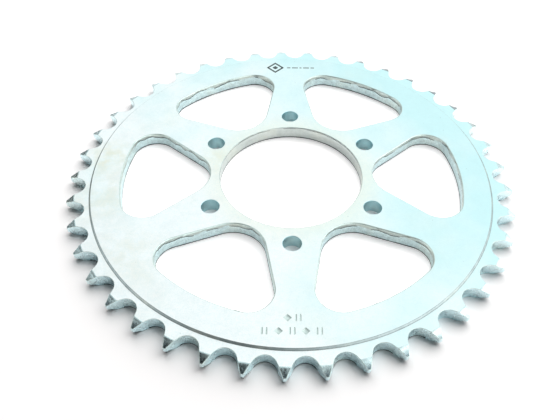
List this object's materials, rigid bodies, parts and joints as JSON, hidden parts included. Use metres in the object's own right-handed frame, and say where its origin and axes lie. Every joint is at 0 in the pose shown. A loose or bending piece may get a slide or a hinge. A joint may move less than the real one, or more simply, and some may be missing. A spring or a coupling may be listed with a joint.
{
  "type": "rear sprocket",
  "caption": "Flat toothed ring for a roller chain, with a round hub bore, a bolt circle, lightening windows and a stepped front face.",
  "frame": {"origin": "on the bore's axis, at the flat back face", "axes": "+Z along the bore's axis out of the stepped front face, +Y through the centre of the first bolt hole, +X to the right when the front face is seen with +Y up"},
  "size_m": [0.2142, 0.2142, 0.007],
  "materials": {
    "zinc_plated_steel": "satin bright zinc plating with a faint blue-green tint"
  },
  "bodies": {
    "root": {"sprocket": "zinc_plated_steel"}
  },
  "joints": []
}
